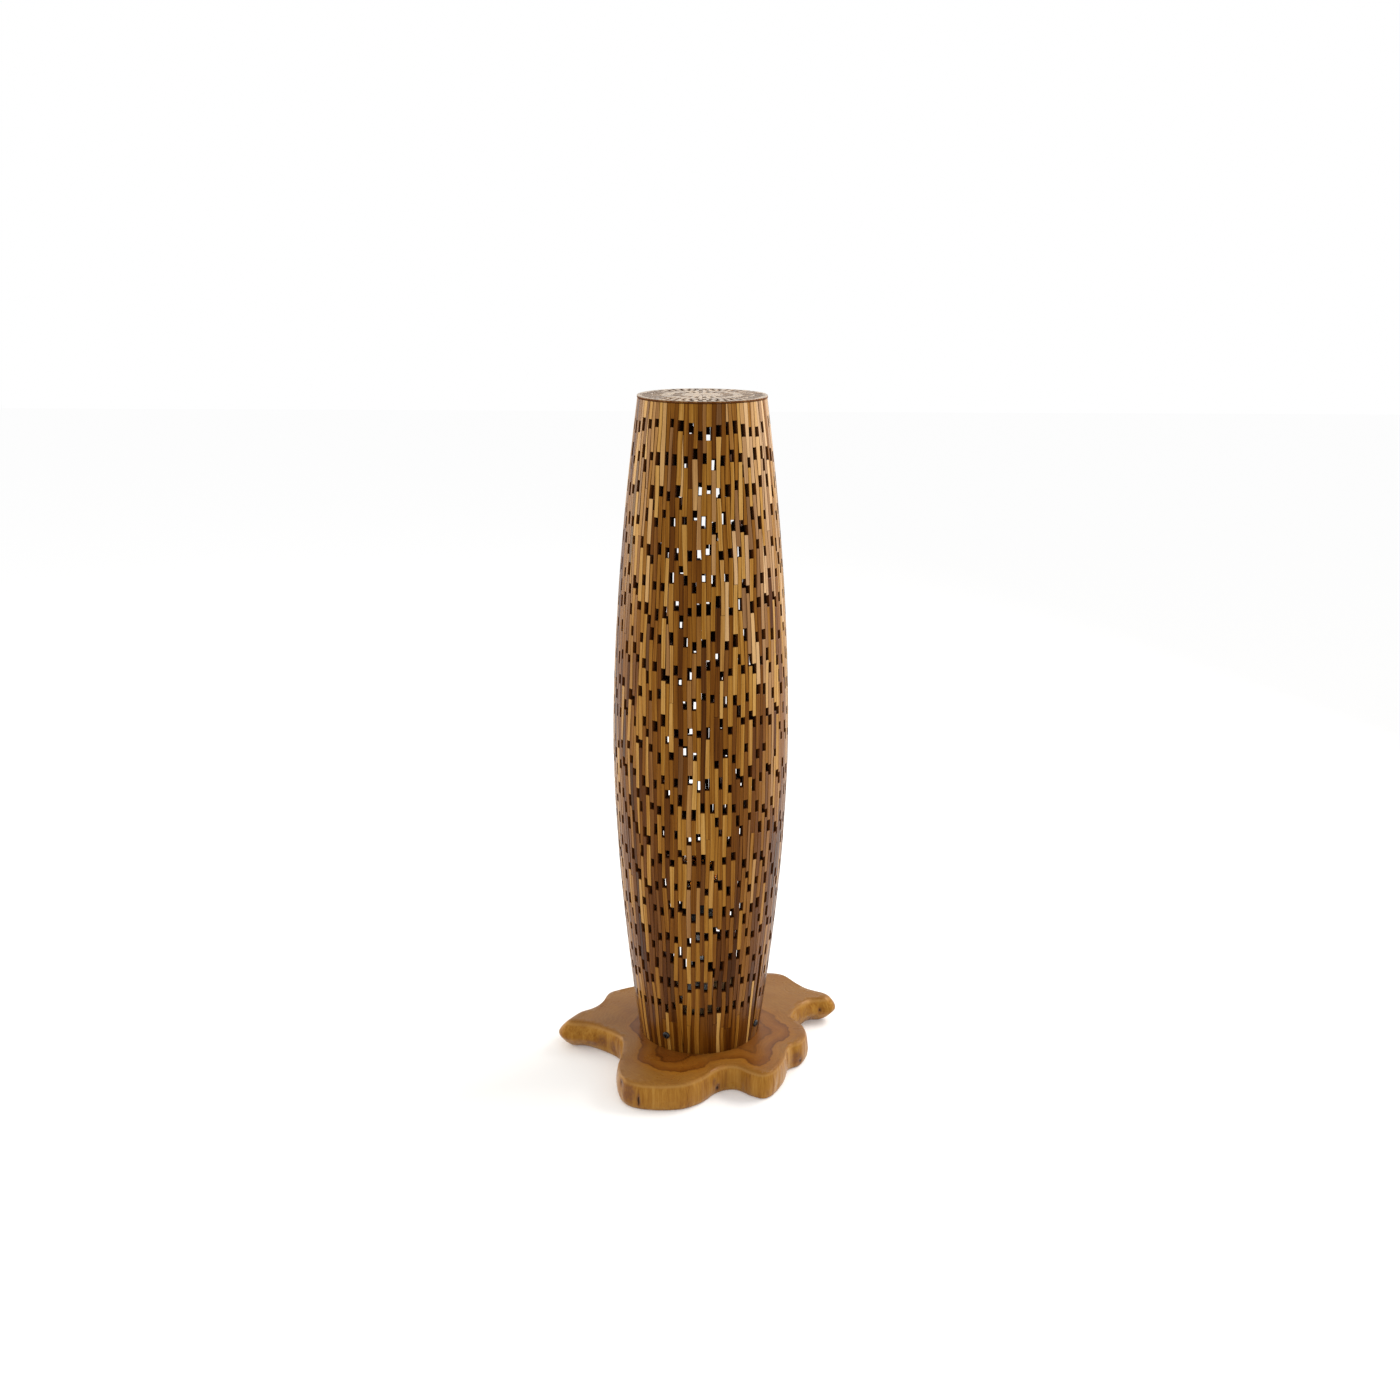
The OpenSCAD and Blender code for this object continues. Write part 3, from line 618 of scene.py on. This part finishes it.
def shade_tones(grids):
    """Tone and hue of each strip: darker at the foot as painted shade, paler towards the top as painted
    light, and palest there on the right-hand side, also as painted light."""
    tops, result = [], []
    for grid in grids:
        low = grid[0].mean(axis=(0, 1))
        top = grid[1].mean(axis=(0, 1))
        middle = (low[2] + top[2]) / 2
        usual = float(np.interp(middle, TONE_HEIGHTS, USUAL_TONES))
        side = low[0] / math.hypot(low[0], low[1])
        # painted light: strips on the right-hand side and high up are paler, as if lit more from there
        pale_and_painted_light = float(smoothstep((side + 0.1) / 0.9) * smoothstep((middle - 0.40) / 0.45))
        usual += 0.10 * pale_and_painted_light
        # the strips of the same column whose tops are just under this one
        below = [k for k, before in enumerate(tops)
                 if -0.001 < low[2] - before[2] < 0.030 and math.dist(low[:2], before[:2]) < 0.0036]
        if below and LUCK.random() < LIKE_BELOW:
            before = result[min(below, key=lambda k: math.dist(low, tops[k]))]
            tone = before[0] + LUCK.gauss(0, 0.07)
            hue = before[1] + LUCK.gauss(0, 0.05)
        else:
            tone = usual + LUCK.gauss(0, 0.20)
            if LUCK.random() < VERY_PALE:
                tone = usual + LUCK.uniform(0.20, 0.42)
            # painted light: more strips are mixed towards the paler colour towards the top and on the
            # right-hand side
            chance = 0.03 + 0.8 * max(0.0, middle - 0.60) + 0.5 * pale_and_painted_light
            most = 0.35 + 0.65 * pale_and_painted_light
            hue = LUCK.uniform(0.4, 1.0) * most if LUCK.random() < chance else 0.0
        tops.append(top)
        result.append((min(max(tone, 0.06), 0.98), min(max(hue, 0.0), 1.0)))
    return result


def lid_tones(grids):
    """Tone and hue of each strip of the lid, which differ at random."""
    return [(min(max(LUCK.gauss(0.64, 0.20), 0.2), 1.0), LUCK.uniform(0.0, 0.6)) for _ in grids]


def add_shade():
    polish = strip_material("strip_teak_lacquered", 0.26, 0.38)
    names = sorted(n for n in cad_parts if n.startswith("shade_") and n[6:].isdigit())
    for node in names:
        piece = build_strips(node.replace("shade_", "shade_strips_"), node, height_of, radius_of, True,
                             shade_tones, polish, WINDOW_END)


def add_lid():
    polish = strip_material("lid_teak_lacquered", 0.30, 0.42, painted_sheen=0.55)
    for node in ("lid_centre", "lid_middle", "lid_rim"):
        piece = build_strips(node + "_strips", node, radius_of, height_of, False, lid_tones, polish,
                             LID_END, LID_SUNK)


# ---------------------------------------------------------------- base slab

SLAB_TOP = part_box("base_slab")[1].z
RING_SHARE = 0.55     # share of the slab's thickness at which its outline is taken from the CAD node
# How far in the wall stands, in mm, at shares of the slab's thickness
WALL_SECTION = [(0.0, 6.0), (0.06, 3.4), (0.2, 1.2), (0.42, 0.0), (0.55, 0.1), (0.7, 0.6), (0.85, 1.8),
                (0.95, 3.8), (1.0, 6.5)]
# Shares of the thickness at which the wall has a ring of points
WALL_LEVELS = [0, 0.02, 0.05, 0.09, 0.14, 0.2, 0.27, 0.34, 0.42, 0.5, 0.58, 0.66, 0.72, 0.78, 0.83, 0.875,
               0.91, 0.94, 0.965, 0.985, 1.0]
LEVEL_SLACK = 1e-4    # how far from that level the outline's points may lie
INSIDE_RING = 0.07    # points nearer the axis than this belong to the slab's cuts
CLEAR = 0.0002        # keeps the wall's flutes inside the CAD box
# The two long lobes: the point each is drawn in to, and how strongly at the floor and at the top
LOBES = (((0.172, 0.098), 0.6, 0.3), ((-0.178, 0.022), 0.45, 0.45))
LOBE_REACH = 0.060    # scale of how far from that point a lobe is drawn in
LOBE_WIDEST = 0.55    # share of the thickness at which the lobes are widest
HEART = np.array((0.012, -0.035))     # the middle of the heartwood
HEARTWOOD = 0.150     # how far from there it reaches along a lobe
RING_BLEND = 0.007    # over how far its growth lines merge with the outline's
OUTLINE_POINTS = 900
NET_SPACING = 0.0065  # between the points that fill the flat faces
SHADE_FOOT = 0.098    # radius outside which the top is sanded a little hollow
HOLLOW = 0.0004       # mean depth of that


def slab_ring():
    """The slab's outline at its widest, walked round from the CAD node's mesh."""
    bm = bmesh.new()
    bm.from_mesh(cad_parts["base_slab"].data)
    bmesh.ops.remove_doubles(bm, verts=bm.verts, dist=SAME_POINT)
    level = RING_SHARE * SLAB_TOP
    ring = {v for v in bm.verts if abs(v.co.z - level) < LEVEL_SLACK and v.co.xy.length > INSIDE_RING}
    start = max(ring, key=lambda v: v.co.x)
    walk, last, here = [start], None, start
    while True:
        following = [e.other_vert(here) for e in here.link_edges
                     if e.other_vert(here) in ring and e.other_vert(here) is not last]
        if last is None:
            following = [max(following, key=lambda v: v.co.y)]
        if not following or following[0] is start:
            break
        last, here = here, following[0]
        walk.append(here)
    points = np.array([v.co.xy[:] for v in walk])
    bm.free()
    return points


def closed_curve(points, count):
    """count points evenly spaced on a smooth closed curve through the given ones."""
    n = len(points)
    fine = []
    for i in range(n):
        a, b, c, d = points[i - 1], points[i], points[(i + 1) % n], points[(i + 2) % n]
        for u in np.arange(0, 1, 0.1):
            fine.append(0.5 * (2 * b + (c - a) * u + (2 * a - 5 * b + 4 * c - d) * u ** 2
                               + (3 * b - a - 3 * c + d) * u ** 3))
    fine = np.array(fine + [fine[0]])
    run = np.concatenate([[0], np.cumsum(np.linalg.norm(np.diff(fine, axis=0), axis=1))])
    at = np.linspace(0, run[-1], count, endpoint=False)
    return np.stack([np.interp(at, run, fine[:, k]) for k in (0, 1)], axis=1)


def blur(points, width):
    """A closed row of points averaged over width neighbours on either side."""
    total = np.zeros_like(points)
    weights = 0
    for k in range(-width, width + 1):
        weight = 1 + math.cos(math.pi * k / (width + 1))
        total += weight * np.roll(points, k, axis=0)
        weights += weight
    return total / weights


def smoothstep(x):
    x = np.clip(x, 0, 1)
    return x * x * (3 - 2 * x)


def section_inset(share):
    shares, insets = zip(*WALL_SECTION)
    return float(np.interp(share, shares, insets)) * 0.001


# Knots, checks and stains on the slab: place in metres, radii along and up the wall, and strength. Where no
# y is given, the mark is on the front of the wall.
SLAB_MARKS = [
    ((-0.104, None, 0.024), (0.014, 0.017), 0.90),
    ((-0.117, None, 0.034), (0.005, 0.006), 1.3),
    ((-0.088, None, 0.013), (0.0022, 0.010), 2.0),
    ((0.029, None, 0.010), (0.0045, 0.007), 1.5),
    ((0.024, None, 0.024), (0.005, 0.008), 0.7),
    ((-0.150, None, 0.022), (0.010, 0.014), 0.65),
    ((-0.168, None, 0.012), (0.010, 0.007), 0.85),
    ((-0.134, None, 0.016), (0.006, 0.014), 0.80),
    ((0.148, None, 0.018), (0.010, 0.012), 0.80),
    ((0.156, None, 0.010), (0.004, 0.005), 1.4),
    ((0.193, None, 0.026), (0.0030, 0.0030), 2.0),
    ((0.172, None, 0.030), (0.012, 0.010), 0.45),
    ((-0.060, 0.150, 0.022), (0.012, 0.012), 0.7),
    ((0.120, 0.172, 0.018), (0.009, 0.012), 0.8),
]


def placed_marks(outline):
    """The marks with the y of the wall's front filled in."""
    placed = []
    for (x, y, z), radii, strength in SLAB_MARKS:
        if y is None:
            y = min(p[1] for p in outline if abs(p[0] - x) < 0.002)
        placed.append(((x, y, z), radii, strength))
    return placed


def marks_at(point, marks):
    total = 0.0
    for centre, (wide, tall), strength in marks:
        flat = math.dist(point[:2], centre[:2]) / wide
        rise = (point[2] - centre[2]) / tall
        distance = flat * flat + rise * rise
        if distance < 9:
            total += strength * math.exp(-distance)
    return min(total, 1.0)


def slab_walls(soft):
    """Rings of points up the wall, with how much each is wall and how marked it is."""
    marks = placed_marks(soft)
    ahead = np.roll(soft, -3, axis=0) - np.roll(soft, 3, axis=0)
    inward = np.stack([-ahead[:, 1], ahead[:, 0]], axis=1)
    inward /= np.linalg.norm(inward, axis=1)[:, None]
    if np.sum((soft + inward * 0.001) ** 2) > np.sum(soft ** 2):
        inward = -inward
    verts, wall, mark = [], [], []
    for share in WALL_LEVELS:
        inset = section_inset(share) - section_inset(RING_SHARE) + CLEAR
        below = max(0.0, 1 - share / LOBE_WIDEST) ** 1.3
        above = (max(0.0, share - LOBE_WIDEST) / (1 - LOBE_WIDEST)) ** 1.5
        start = soft + inward * inset
        points = start.copy()
        for heart, floor_draw, top_draw in LOBES:
            draw = floor_draw * below + top_draw * above
            pull = smoothstep(1.4 - np.linalg.norm(start - heart, axis=1) / LOBE_REACH) * draw
            points += pull[:, None] * (np.array(heart) - start)
        z = share * SLAB_TOP
        middle = math.sin(math.pi * share) ** 0.6 if 0 < share < 1 else 0.0
        for p, n in zip(points, inward):
            flute = noise.fractal(Vector((p[0] * 42, p[1] * 42, z * 9)), 1.0, 2.0, 3)
            ripple = noise.noise(Vector((p[0] * 150, p[1] * 150, z * 26 + 7)))
            lump = noise.noise(Vector((p[0] * 30 + 3, p[1] * 30, z * 45)))
            push = middle * (0.0012 + 0.0016 * flute + 0.0005 * ripple + 0.0009 * lump)
            spot = marks_at((p[0], p[1], z), marks)
            push = max(push, 0.0) + middle * 0.0022 * max(spot - 0.35, 0.0)
            verts.append((p[0] + n[0] * push, p[1] + n[1] * push, z))
            mark.append(spot)
        wall += [float(1 - smoothstep((share - 0.86) / 0.13))] * len(points)
    return verts, wall, mark


def fill_flat(level, verts):
    """Fills the flat side inside the wall's ring at a level. Its new points join verts; gives its faces."""
    count = OUTLINE_POINTS
    z = SLAB_TOP if level else 0.0
    rim = [Vector(v[:2]) for v in verts[level * count:(level + 1) * count]]
    rim_array = np.array([p[:] for p in rim])
    net = []
    for row, y in enumerate(np.arange(-0.20, 0.20, NET_SPACING * 0.87)):
        for x in np.arange(-0.23 + (row % 2) * NET_SPACING / 2, 0.23, NET_SPACING):
            if np.min(np.sum((rim_array - (x, y)) ** 2, axis=1)) > (0.6 * NET_SPACING) ** 2:
                net.append(Vector((x, y)))
    edges = [(i, (i + 1) % count) for i in range(count)]
    got, _, cells, origin, _, _ = geometry.delaunay_2d_cdt(rim + net, edges, [], 1, 1e-7)
    index = {}
    for k, p in enumerate(got):
        if origin[k] and origin[k][0] < count:
            index[k] = level * count + origin[k][0]
            continue
        index[k] = len(verts)
        if level:
            far = float(smoothstep((p.length - SHADE_FOOT) / 0.03))
            dip = HOLLOW * far * (1 + noise.noise(Vector((p.x * 22, p.y * 22, 4))))
            verts.append((p.x, p.y, z - dip))
        else:
            verts.append((p.x, p.y, z))
    return [tuple(index[i] for i in cell) for cell in cells]


def growth_rings(verts, outline):
    """How far each point is in from the outline, or from the end of the heartwood where that is nearer."""
    flat = np.array([v[:2] for v in verts])
    ring = np.empty(len(verts))
    for start in range(0, len(verts), 400):
        gap = flat[start:start + 400, None, :] - outline[None, ::3, :]
        ring[start:start + 400] = np.sqrt((gap ** 2).sum(axis=2).min(axis=1))
    inside = HEARTWOOD - np.linalg.norm(flat - HEART, axis=1)
    return -RING_BLEND * np.log(np.exp(-ring / RING_BLEND) + np.exp(-inside / RING_BLEND))


def add_slab():
    outline = closed_curve(slab_ring(), OUTLINE_POINTS)
    verts, wall, mark = slab_walls(blur(outline, 2))
    faces = quads(0, len(WALL_LEVELS), OUTLINE_POINTS)
    faces += fill_flat(0, verts)
    faces += fill_flat(len(WALL_LEVELS) - 1, verts)
    added = [0.0] * (len(verts) - len(wall))
    slab = new_object("root_slab", verts, faces, {
        "ring": growth_rings(verts, outline), "wall": wall + added, "mark": mark + added}, sharp=50)
    cut_slab(slab)
    slab.data.materials.append(slab_material())
    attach(slab, "root")
    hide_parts("base_slab")


# The cuts in the slab, as the CAD node has them
CHAMBER = (0.028, 0.018)          # radius and height
GROOVE = (0.012, 0.30, 0.010)     # width, length and height of the cable's groove, which ends at the back
CABLE_BORE = 0.005                # radius
PLINTH_SCREWS = [(0.055 * math.cos(a), 0.055 * math.sin(a))
                 for a in (TURN / 12, 5 * TURN / 12, 9 * TURN / 12)]
SCREW_HEAD = (0.0058, 0.012)      # radius and height of the hole for a screw's head
SCREW_HOLE = 0.0026               # radius
PAST = 0.003                      # how far the cutters stand out of the slab


def cut_slab(slab):
    """Cuts the chamber, the cable's groove and bore, and the plinth screws' holes."""
    bm = bmesh.new()

    def drill(x, y, radius, low, high, sides=48):
        made = bmesh.ops.create_cone(bm, cap_ends=True, segments=sides, radius1=radius, radius2=radius,
                                     depth=high - low)
        bmesh.ops.translate(bm, verts=made["verts"], vec=(x, y, (low + high) / 2))

    def separate_cut():
        mesh = bpy.data.meshes.new("cutter")
        bm.to_mesh(mesh)
        bm.clear()
        cutter = bpy.data.objects.new("cutter", mesh)
        bpy.context.scene.collection.objects.link(cutter)
        change = slab.modifiers.new("cut", "BOOLEAN")
        change.operation, change.solver, change.object = "DIFFERENCE", "EXACT", cutter
        evaluated = slab.evaluated_get(bpy.context.evaluated_depsgraph_get())
        result = bpy.data.meshes.new_from_object(evaluated)
        slab.modifiers.clear()
        slab.data = result
        bpy.data.objects.remove(cutter)

    drill(0, 0, CHAMBER[0], -PAST, CHAMBER[1], 96)
    for x, y in PLINTH_SCREWS:
        drill(x, y, SCREW_HEAD[0], -PAST, SCREW_HEAD[1])
    separate_cut()
    width, length, height = GROOVE
    made = bmesh.ops.create_cube(bm, size=1.0)
    bmesh.ops.scale(bm, vec=(width, length, height + PAST), verts=made["verts"])
    bmesh.ops.translate(bm, vec=(0, length / 2, (height - PAST) / 2), verts=made["verts"])
    drill(0, 0, CABLE_BORE, -2 * PAST, SLAB_TOP + PAST)
    for x, y in PLINTH_SCREWS:
        drill(x, y, SCREW_HOLE, -2 * PAST, SLAB_TOP + PAST, 24)
    separate_cut()
    bm.free()


# ---------------------------------------------------------------- metal and electrical parts

def dress(node, material, bevel):
    """Gives a carried-over CAD node its material, and breaks its sharp edges."""
    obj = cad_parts[node]
    obj.data.materials.clear()
    obj.data.materials.append(material)
    if bevel:
        weld = obj.modifiers.new("weld", "WELD")
        weld.merge_threshold = SAME_POINT
        change = obj.modifiers.new("edges", "BEVEL")
        change.width = bevel
        change.segments = 2
        change.limit_method = "ANGLE"
        change.angle_limit = math.radians(42)


def add_fittings():
    black = metal_material("black_steel_screw", (0.050, 0.052, 0.056), 0.38, metal=0.85)
    zinc = metal_material("zinc_steel_plated", (0.46, 0.46, 0.46), 0.38)
    nickel = metal_material("bulb_nickel_plated", (0.70, 0.68, 0.63), 0.24)
    brass = metal_material("contact_brass_bright", (0.78, 0.56, 0.24), 0.27, tint=(0.50, 0.30, 0.12))
    solder = metal_material("bulb_solder_tin", (0.55, 0.56, 0.57), 0.42)
    rubber = moulded_material("black_rubber_matt", (0.018, 0.018, 0.019), 0.72, grain=0.00015, level=0.3)
    bakelite = moulded_material("black_bakelite_moulded", (0.022, 0.020, 0.019), 0.30)
    glaze = moulded_material("holder_ceramic_glazed", (0.82, 0.81, 0.76), 0.30, coat=0.6)
    vitrite = moulded_material("bulb_black_glass_vitrite", (0.012, 0.012, 0.015), 0.14, coat=0.5)
    amber = blown_glass("bulb_amber_glass_blown", (0.78, 0.42, 0.12), 0.03)
    clear = blown_glass("bulb_clear_glass_pressed", (0.88, 0.92, 0.90), 0.05)
    phosphor = moulded_material("bulb_phosphor_coated", (0.80, 0.52, 0.10), 0.70, grain=0.0002)
    for node, material, bevel in (
        ("shade_screws", black, 0.00018),
        ("plinth_screws", zinc, 0.00015),
        ("plinth", plinth_material(), 0.0008),
        ("cable_grommet", rubber, 0.0003),
        ("holder_bracket", zinc, 0.0002),
        ("bracket_screws", zinc, 0.00012),
        ("holder_tube", zinc, 0.0002),
        ("tube_nuts", zinc, 0.0002),
        ("holder_cap", bakelite, 0.0003),
        ("holder_body", bakelite, 0.0003),
        ("holder_insert", glaze, 0.0002),
        ("screw_shell", brass, 0.0),
        ("centre_contact", brass, 0.0001),
        ("terminal_screws", brass, 0.0001),
        ("bulb_tip", solder, 0.0002),
        ("bulb_insulator", vitrite, 0.0),
        ("bulb_cap", nickel, 0.0),
        ("bulb_glass", amber, 0.0),
        ("bulb_stem", clear, 0.0),
        ("bulb_wires", nickel, 0.0),
        ("bulb_filaments", phosphor, 0.0),
    ):
        dress(node, material, bevel)


# ---------------------------------------------------------------- the scene

add_camera()
add_world()
add_floor()
area_light("key", (1.4, 0.55, 1.60), (0, 0, 0.90), (1.4, 0.7), 34.0, (1.0, 0.96, 0.91))
area_light("fill", (-1.9, 0.7, 0.80), (0, 0, 0.50), (1.4, 0.9), 15.0, (1.0, 0.84, 0.56))
add_slab()
add_shade()
add_lid()
add_fittings()

scene = bpy.context.scene
scene.view_settings.view_transform = "Standard"
scene.view_settings.look = "None"
